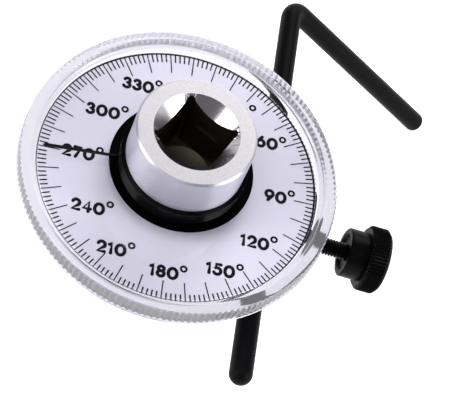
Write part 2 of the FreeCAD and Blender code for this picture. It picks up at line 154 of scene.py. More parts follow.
# Dial cover and its sheet
COVER_BORE = BARREL_RADIUS + RUNNING_CLEARANCE
COVER_LIFT = 0.04               # keeps its underside clear of the sheet's face
WINDOW_RADIUS = 30.4            # flat middle of the cover's top
HOLLOW_ROUND = 1.6              # hollow round from the window up to the rim
RIM_RISE = 1.75                 # rim over the window
RIM_INNER = 32.7                # middle of the rim's inner round
RIM_INNER_ROUND = 0.5
RIM_SHOULDER = 0.8
CREST = 34.8                    # over the rim's ridges
RIDGES = 164
RIDGE_STEPS = 8
FLUTE_DEPTH = 0.35
LIP_HEIGHT = 0.55
LIP_BREAK = 0.05                # broken edges of the plain lip
LIP_TOP_BREAK = 0.03
SHEET_BORE = 13.2
SHEET_RADIUS = 31.15
SHEET_SHIFT = Vector((-0.26, -0.37, 0)) * MM

# Dial print. Its 90 degree mark lies at this angle from +X, and marks run clockwise.
DIAL_START = 30.8
INK_HEIGHT = PLATE_HIGH.z + 0.012
BORDER_RADIUS = 30.85
BORDER_WIDTH = 0.46
BORDER_LIFT = 0.004             # keeps the border's face off the ticks' face
TICK_STEP = 2                   # degrees
TICKS_IN_GROUP = 5              # one long and four short
TICK_START = 28.65
TICK_WIDTH = 0.34
LONG_TICK_START = 25.9
LONG_TICK_WIDTH = 0.28
NUMBER_HEIGHT = 3.15
STROKE = 0.78
FIGURE_GAP = 0.1
DEGREE_RING = 0.6
DEGREE_STROKE = 0.5
DEGREE_OVERLAP = 0.05
INK_FLATNESS = 0.02             # share of a round stroke's height that its ink keeps

# Each number's middle on the dial, as (towards 90, towards 0)
NUMBERS = {
    0: (1.0, 22.6), 30: (12.0, 20.0), 60: (19.4, 13.5), 90: (22.65, 0.46), 120: (19.26, -11.79),
    150: (12.64, -20.18), 180: (0.72, -23.41), 210: (-10.93, -20.51), 240: (-17.20, -11.84),
    270: (-21.1, 0.8), 300: (-17.31, 12.41), 330: (-10.56, 20.92)}

# Holder
HUB_BORE = 13
HUB_RADIUS = 17.5
HUB_CHAMFER = 0.6
BLOCK_INNER = 15                # hidden end inside the hub, from the drive axis
BLOCK_REACH = 9.9               # outer face, from the rod's axis
BLOCK_HALF_WIDTH = 7.5
BLOCK_BELOW = 4.7               # underside and top, from the rod's axis
BLOCK_ABOVE = 8.3
BLOCK_CORNER = 2.5              # upright outer corners
BLOCK_EDGE_BREAK = 0.35
THRUST_ROOM = 0.8               # round the thrust washer
BARREL_ROOM = 0.5               # round the bush's barrel
CROSS_HOLE_RADIUS = 3
CROSS_HOLE_REACH = 20           # each hole's reach is each way from the rod's axis
INSERT_HOLE_RADIUS = 3.2
INSERT_HOLE_REACH = 3.75
STUD_HOLE_RADIUS = 2
STUD_HOLE_REACH = 4.95

# Arm rod, with its leg's drop in degrees
ROD_RADIUS = 2.375
ROD_BELOW = 39.0                # from the thumb screw's axis to the lower tip
ROD_ABOVE = 60.6                # from the thumb screw's axis to the bend's corner
BEND_RADIUS = 3.4
LEG_LENGTH = 54.6
LEG_DROP = 39.6
LEG_TIP_ROUND = 1.6
GRIP_RADIUS = 2.6
GRIP_LENGTH = 25.0
GRIP_CHAMFER = 0.3

# Thumb screw, with its heights from the rod's axis
THREAD_PITCH = 0.7
THREAD_RADIUS = 1.95
CORE_RADIUS = 1.55
THREAD_START = 3.2
STUD_TIP = 2.675
STUD_TIP_RADIUS = 1.3
STUD_IN_HEAD = 5.5              # from the collar's face to the stud's root
COLLAR_START = 19.6
COLLAR_LENGTH = 4.4
COLLAR_RADIUS = 5.55
COLLAR_EDGE = 0.3
RECESS_RADIUS = 3.9             # dish in the collar's face
RECESS_WIDE_RADIUS = 4.3
RECESS_DEPTH = 0.7
HEAD_BORE = 1.9
HEAD_BORE_DEPTH = 5
KNOB_RADIUS = 7.45
KNOB_THICKNESS = 4.7
KNOB_CHAMFER = 0.7
KNOB_RIDGES = 60
KNOB_RIDGE_DEPTH = 0.3

# Stage. Each softbox has its place and size, and its power in watts.
FLOOR_SIZE = 6000
FLOOR_GAP = 0.5
FLOOR_GLOW = 0.6
ROOM_LIGHT = 0.2
HORIZON_RISES = (0.1, 0.35)     # a ray's rise where the white starts to fade, and where it has gone
DIAL_MIDDLE = Vector((0, 0, 18))
SOFTBOXES = {
    "right_softbox": ((633, 89, 285), (450, 300), 2.3),
    "left_softbox": ((-429, -460, 307), (450, 300), 2.3),
    "back_softbox": ((-180, 700, 540), (560, 350), 3.2),
    "top_softbox": ((-60, -200, 850), (600, 450), 2.8),
}

# Cutters pass the faces that they open by PAST, pieces that are joined or trimmed reach OVERLAP into each
# other, and the room under the hub is cut down to ROOM_BOTTOM.
PAST = 1
OVERLAP = 0.5
ROOM_BOTTOM = -10


def linear(colour):
    """sRGB hex colour to linear RGBA."""
    parts = [int(colour[i:i + 2], 16) / 255 for i in (1, 3, 5)]
    return [c / 12.92 if c <= 0.04045 else ((c + 0.055) / 1.055) ** 2.4 for c in parts] + [1]


def add_camera():
    """Long lens from above, at the photograph's angle."""
    lens = bpy.data.cameras.new("photo_lens")
    lens.lens = FOCAL_LENGTH
    lens.sensor_width = SENSOR_WIDTH
    lens.clip_start = NEAREST * MM
    lens.clip_end = FARTHEST * MM
    camera = bpy.data.objects.new("camera", lens)
    bpy.context.scene.collection.objects.link(camera)
    camera.location = CAMERA_PLACE * MM
    camera.rotation_euler = [math.radians(a) for a in CAMERA_TURNS]
    bpy.context.scene.camera = camera


# Modelling helpers

def deselect_all():
    """Leaves edit mode, with nothing selected."""
    if bpy.context.object and bpy.context.object.mode != "OBJECT":
        bpy.ops.object.mode_set(mode="OBJECT")
    bpy.ops.object.select_all(action="DESELECT")


def make_active(piece):
    """Selects one piece alone and makes it active."""
    deselect_all()
    piece.select_set(True)
    bpy.context.view_layer.objects.active = piece


def edit(piece):
    """Opens a piece in edit mode."""
    make_active(piece)
    bpy.ops.object.mode_set(mode="EDIT")


def pick(piece, kind, wanted):
    """Selects the vertices, edges or faces of an edited piece that wanted() accepts."""
    bpy.ops.mesh.select_mode(type=kind)
    bpy.ops.mesh.select_all(action="DESELECT")
    mesh = bmesh.from_edit_mesh(piece.data)
    parts = {"VERT": mesh.verts, "EDGE": mesh.edges, "FACE": mesh.faces}[kind]
    for part in parts:
        if wanted(part):
            part.select_set(True)
    mesh.select_flush_mode()
    bmesh.update_edit_mesh(piece.data)


def new_piece(name, add, **size):
    """Adds a primitive under a name of its own."""
    deselect_all()
    add(**size)
    piece = bpy.context.object
    piece.name = name
    return piece


def place(piece, matrix):
    """Moves a piece and writes the move into its mesh."""
    make_active(piece)
    piece.matrix_world = matrix
    bpy.ops.object.transform_apply(location=True, rotation=True, scale=True)
    return piece


def modify(piece, kind, **settings):
    """Adds a modifier and applies it."""
    make_active(piece)
    change = piece.modifiers.new(kind.title(), kind)
    for key, value in settings.items():
        setattr(change, key, value)
    bpy.ops.object.modifier_apply(modifier=change.name)


def combine(piece, tool, operation):
    """Cuts, joins or trims a piece with another and removes that one."""
    modify(piece, "BOOLEAN", operation=operation, object=tool, solver="EXACT")
    bpy.data.objects.remove(tool)


def join(pieces):
    """Makes several pieces one mesh, under the first one's name."""
    deselect_all()
    for part in pieces:
        part.select_set(True)
    bpy.context.view_layer.objects.active = pieces[0]
    bpy.ops.object.join()
    return pieces[0]


def smooth(piece, angle):
    """Shades a piece smooth, apart from edges sharper than an angle in degrees."""
    make_active(piece)
    bpy.ops.object.shade_smooth_by_angle(angle=math.radians(angle))


def soften(piece, width, segments=2):
    """Breaks the sharp edges by width mm and shades the rest smooth."""
    modify(piece, "BEVEL", width=width * MM, segments=segments, limit_method="ANGLE",
           angle_limit=math.radians(30), use_clamp_overlap=True)
    smooth(piece, 40)
    modify(piece, "WEIGHTED_NORMAL", keep_sharp=True, weight=50)


def merge_doubles():
    """Merges the edited piece's vertices that lie in one place."""
    bpy.ops.mesh.select_all(action="SELECT")
    bpy.ops.mesh.remove_doubles(threshold=MM / 500)


def clean(piece):
    """Merges doubles and turns every face outwards."""
    edit(piece)
    merge_doubles()
    bpy.ops.mesh.normals_make_consistent(inside=False)
    deselect_all()


def spin(steps, angle=2 * math.pi, copies=False):
    """Spins the edited piece about Z, into a surface or into copies."""
    bpy.ops.mesh.select_all(action="SELECT")
    bpy.ops.mesh.spin(steps=steps, angle=angle, center=(0, 0, 0), axis=(0, 0, 1), dupli=copies)


def draw_outline(name, outline):
    """A line of edges through points in the XZ plane, left in edit mode."""
    piece = new_piece(name, bpy.ops.mesh.primitive_plane_add, size=MM)
    edit(piece)
    bpy.ops.mesh.select_mode(type="VERT")
    bpy.ops.mesh.select_all(action="SELECT")
    bpy.ops.mesh.merge(type="CENTER")
    x, z = outline[0]
    bpy.ops.transform.translate(value=(x * MM, 0, z * MM))
    for (x0, z0), (x1, z1) in zip(outline, outline[1:]):
        step = ((x1 - x0) * MM, 0, (z1 - z0) * MM)
        bpy.ops.mesh.extrude_region_move(TRANSFORM_OT_translate={"value": step})
    return piece


def lathe(name, outline, steps=192):
    """Turns an outline of (radius, height) points about Z."""
    piece = draw_outline(name, outline)
    spin(steps)
    clean(piece)
    return piece


def box(name, low, high):
    """A block between two corners."""
    low, high = Vector(low), Vector(high)
    piece = new_piece(name, bpy.ops.mesh.primitive_cube_add, size=1)
    size = (high - low) * MM
    return place(piece, Matrix.Translation((low + high) / 2 * MM) @ Matrix.Diagonal((*size, 1)))


def cylinder(name, radius, low, high, vertices=96):
    """A round bar about Z between two heights."""
    return new_piece(name, bpy.ops.mesh.primitive_cylinder_add, vertices=vertices, radius=radius * MM,
                     depth=(high - low) * MM, location=(0, 0, (high + low) / 2 * MM))


def bore(piece, name, radius, reach, matrix):
    """Cuts a round hole that reaches as far each way along Z from the place where a matrix lays it."""
    hole = cylinder(name, radius, -reach, reach)
    combine(piece, place(hole, matrix), "DIFFERENCE")


def oval(x, y, wide, tall, start=0, end=360, count=40):
    """Points on an oval or a part of one, with its angles in degrees from the first axis."""
    turns = [math.radians(start + (end - start) * i / count) for i in range(count + 1)]
    return [(x + wide * math.cos(t), y + tall * math.sin(t)) for t in turns]


def arc(x, z, radius, start, end, count):
    """Points on an arc of a circle."""
    return oval(x, z, radius, radius, start, end, count)


def along(way, origin):
    """Matrix that lays a piece made along Z onto a direction, its X side kept level."""
    z = Vector(way).normalized()
    x = Vector((0, 0, 1)).cross(z).normalized()
    turn = Matrix((x, z.cross(x), z)).transposed().to_4x4()
    return Matrix.Translation(Vector(origin) * MM) @ turn


def away_of(point):
    """Distance of a point from the Z axis, in mm."""
    return math.hypot(point.x, point.y) / MM


def paint(piece, materials, choose=None):
    """Gives a piece its materials. choose() says which of them a face takes."""
    piece.data.materials.clear()
    for material in materials:
        piece.data.materials.append(material)
    if choose:
        for face in piece.data.polygons:
            face.material_index = choose(face)


def dress(piece, materials, body, replaced=(), choose=None):
    """Gives a finished piece its materials and body, and hides the CAD nodes that it stands for."""
    paint(piece, materials, choose)
    if replaced:
        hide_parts(*replaced)
    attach(piece, body)


# Material helpers

def add_node(tree, kind, inputs=None, **settings):
    """Adds a node, sets its options, then fills or links its inputs."""
    made = tree.nodes.new(kind)
    for key, value in settings.items():
        setattr(made, key, value)
    for key, value in (inputs or {}).items():
        if isinstance(value, bpy.types.NodeSocket):
            tree.links.new(value, made.inputs[key])
        else:
            made.inputs[key].default_value = value
    return made


def new_material(name):
    """A material with an empty node tree, and that tree."""
    material = bpy.data.materials.new(name)
    material.use_nodes = True
    material.node_tree.nodes.clear()
    return material, material.node_tree


def finish_material(tree, **inputs):
    """Principled shader and output. Input names have underscores for spaces."""
    named = {key.replace("_", " "): value for key, value in inputs.items()}
    shader = add_node(tree, "ShaderNodeBsdfPrincipled", named)
    add_node(tree, "ShaderNodeOutputMaterial", {"Surface": shader.outputs[0]})


def plain(name, colour, roughness, metallic=0.0, **more):
    """An even surface of one colour."""
    material, tree = new_material(name)
    finish_material(tree, Base_Color=linear(colour), Roughness=roughness, Metallic=metallic, **more)
    return material


# Grains to the metre, one to 0.33 mm. A real blasted or turned grain of about 0.05 mm is too fine to show,
# so it is drawn as coarse as this.
GRAIN = 3000.0
GRAIN_DEPTH = 0.03
ACRYLIC_IOR = 1.49


def satin_chrome(name, dark, bright, roughness, bump, turned=0.0):
    """Chrome plate over blasted or turned steel, with a fine grain that spreads its reflections."""
    material, tree = new_material(name)
    where = add_node(tree, "ShaderNodeTexCoord").outputs["Object"]
    grain = add_node(tree, "ShaderNodeTexNoise", {"Vector": where, "Scale": GRAIN, "Detail": 3.0})
    tone = add_node(tree, "ShaderNodeMix", {0: grain.outputs[0], "A": linear(dark), "B": linear(bright)},
                    data_type="RGBA")
    relief = add_node(tree, "ShaderNodeBump", {"Height": grain.outputs[0], "Strength": bump,
                                               "Distance": GRAIN_DEPTH * MM})
    round_z = add_node(tree, "ShaderNodeTangent", direction_type="RADIAL", axis="Z")
    finish_material(tree, Base_Color=tone.outputs[2], Metallic=1.0, Roughness=roughness, Anisotropic=turned,
                    Anisotropic_Rotation=0.25, Tangent=round_z.outputs[0], Normal=relief.outputs[0])
    return material


def clear_acrylic(name, colour, roughness, clear):
    """Clear moulded acrylic, which lets the lamps through to the dial as the real sheet does."""
    material, tree = new_material(name)
    shader = add_node(tree, "ShaderNodeBsdfPrincipled",
                      {"Base Color": linear(colour), "Roughness": roughness, "IOR": ACRYLIC_IOR,
                       "Transmission Weight": clear})
    through = add_node(tree, "ShaderNodeBsdfTransparent", {"Color": linear("#f4f4f6")})
    path = add_node(tree, "ShaderNodeLightPath")
    mixed = add_node(tree, "ShaderNodeMixShader", {0: path.outputs["Is Shadow Ray"], 1: shader.outputs[0],
                                                   2: through.outputs[0]})
    add_node(tree, "ShaderNodeOutputMaterial", {"Surface": mixed.outputs[0]})
    return material


# Spindle

def make_tang():
    """Male square with turned corners, a chamfered tip and the spring's room across it."""
    half = MALE_SQUARE / 2
    tang = box("tang", (-half, -half, TANG_TIP), (half, half, TANG_ROOT))
    turning = lathe("tang_turning", [
        (0, TANG_TIP), (TANG_ROUND - TANG_TIP_CHAMFER, TANG_TIP), (TANG_ROUND, TANG_TIP + TANG_TIP_CHAMFER),
        (TANG_ROUND, TANG_ROOT + OVERLAP), (0, TANG_ROOT + OVERLAP)])
    combine(tang, turning, "INTERSECT")
    bore(tang, "ball_hole", BALL_HOLE_RADIUS, BALL_HOLE_REACH, along((1, 0, 0), (0, 0, -BALL_DROP)))
    return tang


def make_cavity():
    """Female square with corner reliefs, a detent groove, a lead-in cone and a drill point."""
    half = FEMALE_SQUARE / 2
    floor = SOCKET_TOP - SOCKET_DEPTH
    over = SOCKET_TOP + PAST
    cavity = box("cavity", (-half, -half, floor), (half, half, over))
    for quarter in range(4):
        turn = Matrix.Rotation(math.radians(45 + 90 * quarter), 4, "Z")
        corner = cylinder("corner_relief", RELIEF_RADIUS, floor, over, vertices=32)
        place(corner, turn @ Matrix.Translation((RELIEF_REACH * MM, 0, 0)) @ corner.matrix_world)
        combine(cavity, corner, "UNION")
    middle = SOCKET_TOP - DETENT_GROOVE_DROP
    groove = cylinder("groove", half + DETENT_GROOVE_CUT, middle - DETENT_GROOVE_WIDTH / 2,
                      middle + DETENT_GROOVE_WIDTH / 2)
    combine(cavity, groove, "UNION")
    cone_foot = SOCKET_TOP - (MOUTH_RADIUS - half)
    cone = lathe("lead_in", [(0, cone_foot), (half, cone_foot), (MOUTH_RADIUS + PAST, over), (0, over)])
    combine(cavity, cone, "UNION")
    drill = half - DRILL_CLEARANCE
    point = lathe("drill_point", [(0, floor - DRILL_POINT), (drill, floor), (drill, floor + OVERLAP),
                                  (0, floor + OVERLAP)])
    combine(cavity, point, "UNION")
    return cavity


def spindle_finish(face):
    """0 on turned faces, 1 on the socket's top face, 2 on its lead-in cone, 3 inside it."""
    height = face.center.z / MM
    cone_foot = SOCKET_TOP - (MOUTH_RADIUS - FEMALE_SQUARE / 2)
    if away_of(face.center) < MOUTH_RADIUS and height > SOCKET_TOP - SOCKET_DEPTH - DRILL_POINT - 0.5:
        return 2 if 0.3 < face.normal.z < 0.95 and height > cone_foot - 0.2 else 3
    return 1 if height > SOCKET_TOP - 0.05 else 0


# The oxide material, on the faces inside the cavity, is near-black painted shade in the hollow.
def add_spindle(turned, blasted, bright, oxide):
    """Socket body, journal, circlip groove, shoulder and tang in one turning."""
    clip_top = LAND_LENGTH + CLIP_GROOVE_WIDTH
    piece = lathe("spindle", [
        (0, 0), (JOURNAL_RADIUS - JOURNAL_CHAMFER, 0), (JOURNAL_RADIUS, JOURNAL_CHAMFER),
        (JOURNAL_RADIUS, LAND_LENGTH), (CLIP_GROOVE_RADIUS, LAND_LENGTH), (CLIP_GROOVE_RADIUS, clip_top),
        (JOURNAL_RADIUS, clip_top), (JOURNAL_RADIUS, SOCKET_FOOT),
        (SOCKET_RADIUS - FOOT_CHAMFER, SOCKET_FOOT), (SOCKET_RADIUS, SOCKET_FOOT + FOOT_CHAMFER),
        (SOCKET_RADIUS, SOCKET_TOP - TOP_CHAMFER), (SOCKET_RADIUS - TOP_CHAMFER, SOCKET_TOP),
        (0, SOCKET_TOP)])
    combine(piece, make_tang(), "UNION")
    combine(piece, make_cavity(), "DIFFERENCE")
    soften(piece, EDGE_BREAK)
    dress(piece, [turned, blasted, bright, oxide], "spindle", ["drive_spindle"],
          choose=spindle_finish)


def add_spring(steel):
    """Coil behind the detent ball, built at one length; this mesh does not shorten as the ball is pressed in.
    """
    length = SPRING_HIGH.x - SPRING_LOW.x
    drop = (SPRING_HIGH.z + SPRING_LOW.z) / 2
    coil = (SPRING_HIGH.y - SPRING_LOW.y) / 2 - SPRING_WIRE
    pitch = (length - 2 * SPRING_WIRE) / SPRING_TURNS
    piece = draw_outline("ball_spring", oval(coil, 0, SPRING_WIRE, SPRING_WIRE, count=12))
    clean(piece)
    modify(piece, "SCREW", angle=2 * math.pi, screw_offset=pitch * MM, iterations=SPRING_TURNS, steps=32,
           render_steps=32)
    edit(piece)
    bpy.ops.mesh.select_all(action="SELECT")
    bpy.ops.mesh.fill_holes(sides=0)
    clean(piece)
    place(piece, along((1, 0, 0), (SPRING_LOW.x + SPRING_WIRE, 0, drop)))
    smooth(piece, 40)
    dress(piece, [steel], "spindle", ["detent_spring"])
    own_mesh(piece)


# Hub

def add_pointer_ring(black):
    """Ring with fine turned grooves."""
    outer = RING_HIGH.x
    low, high = RING_LOW.z, RING_HIGH.z
    outline = [(JOURNAL_RADIUS, low), (outer, low)]
    pitch = (high - low) / (RING_GROOVES + 1)
    half = RING_GROOVE_WIDTH / 2
    for i in range(1, RING_GROOVES + 1):
        middle = low + i * pitch
        outline += [(outer, middle - half), (outer - RING_GROOVE_CUT, middle), (outer, middle + half)]
    outline += [(outer, high), (JOURNAL_RADIUS, high), (JOURNAL_RADIUS, low)]
    piece = lathe("grooved_ring", outline)
    soften(piece, RING_EDGE_BREAK)
    dress(piece, [black], "spindle", ["pointer_ring"])


def add_bush(black):
    """Flanged bush: the dial turns under its sloped flange."""
    inner = JOURNAL_RADIUS + RUNNING_CLEARANCE
    flange = BUSH_HIGH.x
    under = COVER_HIGH.z + RUNNING_CLEARANCE
    piece = lathe("flanged_bush", [
        (inner, BUSH_LOW.z), (BARREL_RADIUS, BUSH_LOW.z), (BARREL_RADIUS, under), (flange, under),
        (flange, under + FLANGE_EDGE), (FLANGE_TOP_RADIUS, BUSH_HIGH.z), (inner, BUSH_HIGH.z),
        (inner, BUSH_LOW.z)])
    soften(piece, EDGE_BREAK)
    dress(piece, [black], "holder", ["centre_bush"])


# Dial

def flute(piece, floor):
    """Presses a rounded straight flute into one ridge's share of the rim's wall, above a height."""
    step = 2 * math.pi / (RIDGES * RIDGE_STEPS)
    wall = sorted({round(away_of(v.co), 3) for v in piece.data.vertices if v.co.z / MM > floor})

    def on_line(vertex, turn, radius):
        turned = round(math.atan2(vertex.co.y, vertex.co.x) / step) % RIDGE_STEPS
        return turned == turn and abs(away_of(vertex.co) - radius) < 0.002 and vertex.co.z / MM > floor

    edit(piece)
    for i in range(1, RIDGE_STEPS):
        bottom = CREST - FLUTE_DEPTH * (1 - math.cos(2 * math.pi * i / RIDGE_STEPS)) / 2
        for radius in [r for r in wall if bottom < r < CREST + 0.01]:
            pick(piece, "VERT", lambda vertex: on_line(vertex, i, radius))
            shrink = bottom / radius
            bpy.ops.transform.resize(value=(shrink, shrink, 1), center_override=(0, 0, 0))
    deselect_all()


def cover_finish(face):
    """0 on the window and below, 1 on the raised rim, 2 on its fluted wall."""
    away = away_of(face.center)
    if away > CREST - 0.5 and abs(face.normal.z) < 0.6:
        return 2
    return 1 if away > WINDOW_RADIUS + 0.6 else 0


def add_cover(polished, moulded, fluted):
    """Clear dish: flat window, raised rim with a fluted wall, and a thin lip."""
    outer = COVER_HIGH.x
    low = COVER_LOW.z + COVER_LIFT
    lip = COVER_LOW.z + LIP_HEIGHT
    top = COVER_HIGH.z
    window = top - RIM_RISE
    outline = [(COVER_BORE, low), (COVER_BORE, window)]
    outline += arc(WINDOW_RADIUS, window + HOLLOW_ROUND, HOLLOW_ROUND, -90, -15, 10)
    outline += arc(RIM_INNER, top - RIM_INNER_ROUND, RIM_INNER_ROUND, 145, 90, 6)
    outline += arc(CREST - RIM_SHOULDER, top - RIM_SHOULDER, RIM_SHOULDER, 90, 0, 10)
    outline += [(CREST, lip + 0.1), (CREST, lip), (outer - LIP_TOP_BREAK, lip), (outer, lip - LIP_BREAK),
                (outer, low + LIP_BREAK), (outer - LIP_BREAK, low), (COVER_BORE, low)]
    piece = draw_outline("clear_cover", outline)
    spin(RIDGE_STEPS, angle=2 * math.pi / RIDGES)
    deselect_all()
    flute(piece, lip - 0.02)
    edit(piece)
    spin(RIDGES, copies=True)
    clean(piece)
    smooth(piece, 35)
    dress(piece, [polished, moulded, fluted], "dial", ["dial_cover"], choose=cover_finish)


def add_plate(white):
    """Printed sheet, trimmed just outside the border line."""
    low, high = PLATE_LOW.z, PLATE_HIGH.z
    piece = lathe("printed_sheet", [(SHEET_BORE, low), (SHEET_RADIUS, low), (SHEET_RADIUS, high),
                                    (SHEET_BORE, high), (SHEET_BORE, low)])
    place(piece, Matrix.Translation(SHEET_SHIFT))
    smooth(piece, 40)
    dress(piece, [white], "dial", ["dial_plate"])


def dial_matrix(angle=0.0):
    """Dial frame (x towards 90, y towards 0) turned by a mark's angle."""
    return Matrix.Rotation(math.radians(DIAL_START - angle), 4, "Z")


def add_ticks(ink):
    """Groups of one long and four short marks, spun round the dial, and their border line."""
    marks = []
    for i in range(TICKS_IN_GROUP):
        inner, width = (TICK_START, TICK_WIDTH) if i else (LONG_TICK_START, LONG_TICK_WIDTH)
        mark = new_piece("mark", bpy.ops.mesh.primitive_plane_add, size=1)
        middle = (inner + BORDER_RADIUS) / 2
        shape = Matrix.Diagonal(((BORDER_RADIUS - inner) * MM, width * MM, 1, 1))
        out = Matrix.Translation((middle * MM, 0, INK_HEIGHT * MM))
        marks.append(place(mark, dial_matrix(-TICK_STEP * i) @ out @ shape))
    piece = join(marks)
    piece.name = "dial_ticks"
    edit(piece)
    spin(360 // (TICK_STEP * TICKS_IN_GROUP), copies=True)
    merge_doubles()
    deselect_all()
    half = BORDER_WIDTH / 2
    level = INK_HEIGHT + BORDER_LIFT
    border = draw_outline("dial_border", [(BORDER_RADIUS - half, level), (BORDER_RADIUS + half, level)])
    spin(360)
    clean(border)
    place(border, Matrix.Translation(SHEET_SHIFT))
    join([piece, border])
    dress(piece, [ink], "dial")


# Strokes of each figure on a centre line one unit high, with the figure's width
FIGURES = {
    "0": (0.78, [oval(0.39, 0.5, 0.39, 0.5)]),
    "1": (0.28, [[(0.0, 0.83), (0.2, 1.0), (0.2, 0.0)]]),
    "2": (0.62, [oval(0.3, 0.69, 0.31, 0.31, 165, -40, 20) + [(0.0, 0.0), (0.62, 0.0)]]),
    "3": (0.58, [oval(0.28, 0.76, 0.25, 0.24, 160, -90, 24) + oval(0.28, 0.26, 0.3, 0.26, 90, -160, 24)]),
    "4": (0.66, [[(0.48, 0.0), (0.48, 1.0), (0.0, 0.28), (0.66, 0.28)]]),
    "5": (0.6, [[(0.55, 1.0), (0.14, 1.0), (0.08, 0.56)] + oval(0.27, 0.32, 0.33, 0.32, 128, -150, 28)]),
    "6": (0.66, [oval(0.33, 0.33, 0.33, 0.33), [(0.06, 0.5), (0.42, 1.0)]]),
    "7": (0.58, [[(0.0, 1.0), (0.58, 1.0), (0.16, 0.0)]]),
    "8": (0.6, [oval(0.3, 0.76, 0.25, 0.24), oval(0.3, 0.27, 0.3, 0.27)]),
    "9": (0.66, [oval(0.33, 0.67, 0.33, 0.33), [(0.6, 0.5), (0.24, 0.0)]]),
}


def stroke(points, width):
    """One pen stroke with round ends, as a round bar that is flattened later."""
    curve = bpy.data.curves.new("stroke", "CURVE")
    curve.dimensions = "3D"
    curve.bevel_depth = width / 2 * MM
    curve.bevel_resolution = 1
    curve.use_fill_caps = True
    closed = math.dist(points[0], points[-1]) < 1e-6
    line = points[:-1] if closed else points
    spline = curve.splines.new("POLY")
    spline.points.add(len(line) - 1)
    for point, (x, y) in zip(spline.points, line):
        point.co = (x * MM, y * MM, 0, 1)
    spline.use_cyclic_u = closed
    piece = bpy.data.objects.new("stroke", curve)
    bpy.context.scene.collection.objects.link(piece)
    make_active(piece)
    bpy.ops.object.convert(target="MESH")
    made = [bpy.context.object]
    ends = [] if closed else [points[0], points[-1]]
    for x, y in ends:
        made.append(new_piece("stroke_end", bpy.ops.mesh.primitive_uv_sphere_add, segments=16, ring_count=8,
                              radius=width / 2 * MM, location=(x * MM, y * MM, 0)))
    return made


def number_strokes(value):
    """Strokes of a number and its degree ring, in mm, with their middle at the origin."""
    rise = NUMBER_HEIGHT - STROKE
    x = STROKE / 2
    strokes = []
    for figure in str(value):
        width, lines = FIGURES[figure]
        strokes += [([(x + a * rise, STROKE / 2 + b * rise) for a, b in line], STROKE) for line in lines]
        x += width * rise + STROKE + FIGURE_GAP
    x += DEGREE_RING - STROKE / 2 + DEGREE_STROKE / 2 - DEGREE_OVERLAP
    strokes.append((oval(x, NUMBER_HEIGHT, DEGREE_RING, DEGREE_RING), DEGREE_STROKE))
    wide = x + DEGREE_RING + DEGREE_STROKE / 2
    tall = NUMBER_HEIGHT + DEGREE_RING + DEGREE_STROKE / 2
    return [([(a - wide / 2, b - tall / 2) for a, b in line], pen) for line, pen in strokes]


def add_numbers(ink):
    """Numbers every 30 degrees, all level with the dial's 270 to 90 line."""
    made = []
    for value, (x, y) in NUMBERS.items():
        for line, pen in number_strokes(value):
            made += stroke([(x + a, y + b) for a, b in line], pen)
    piece = join(made)
    piece.name = "dial_numbers"
    flat = Matrix.Diagonal((1, 1, INK_FLATNESS, 1))
    place(piece, dial_matrix() @ Matrix.Translation((0, 0, INK_HEIGHT * MM)) @ flat)
    dress(piece, [ink], "dial")


# Holder, arm and thumb screw

CLAMP = along(SCREW_WAY, ROD_CROSSING)


def make_block():
    """Clamp block with rounded upright corners, cut clear of the thrust washer and the bush."""
    block = box("clamp_block", (-BLOCK_BELOW, -BLOCK_HALF_WIDTH, BLOCK_INNER - ARM_OFFSET),
                (BLOCK_ABOVE, BLOCK_HALF_WIDTH, BLOCK_REACH))

    def upright_outside(edge):
        first, second = (v.co for v in edge.verts)
        return min(first.z, second.z) > 0 and abs(first.x - second.x) > MM

    edit(block)
    pick(block, "EDGE", upright_outside)
    bpy.ops.mesh.bevel(offset=BLOCK_CORNER * MM, segments=6, affect="EDGES")
    deselect_all()
    place(block, CLAMP @ Matrix.Rotation(math.radians(90), 4, "Z"))
    washer_room = cylinder("washer_room", THRUST_RADIUS + THRUST_ROOM, ROOM_BOTTOM, HUB_LOW)
    combine(block, washer_room, "DIFFERENCE")
    barrel_room = cylinder("barrel_room", BARREL_RADIUS + BARREL_ROOM, ROOM_BOTTOM, HUB_HIGH + PAST)
    combine(block, barrel_room, "DIFFERENCE")
    return block


def add_holder(black):
    """Hub and clamp block, with the cross hole for the rod and round rooms where the screw meets it."""
    edge = HUB_RADIUS - HUB_CHAMFER
    piece = lathe("holder", [
        (HUB_BORE, HUB_LOW), (edge, HUB_LOW), (HUB_RADIUS, HUB_LOW + HUB_CHAMFER),
        (HUB_RADIUS, HUB_HIGH - HUB_CHAMFER), (edge, HUB_HIGH), (HUB_BORE, HUB_HIGH), (HUB_BORE, HUB_LOW)])
    combine(piece, make_block(), "UNION")
    bore(piece, "cross_hole", CROSS_HOLE_RADIUS, CROSS_HOLE_REACH, along(ARM_WAY, ROD_CROSSING))
    bore(piece, "insert_hole", INSERT_HOLE_RADIUS, INSERT_HOLE_REACH, CLAMP)
    bore(piece, "stud_hole", STUD_HOLE_RADIUS, STUD_HOLE_REACH, CLAMP)
    soften(piece, BLOCK_EDGE_BREAK, segments=3)
    dress(piece, [black], "holder", ["arm_holder"])


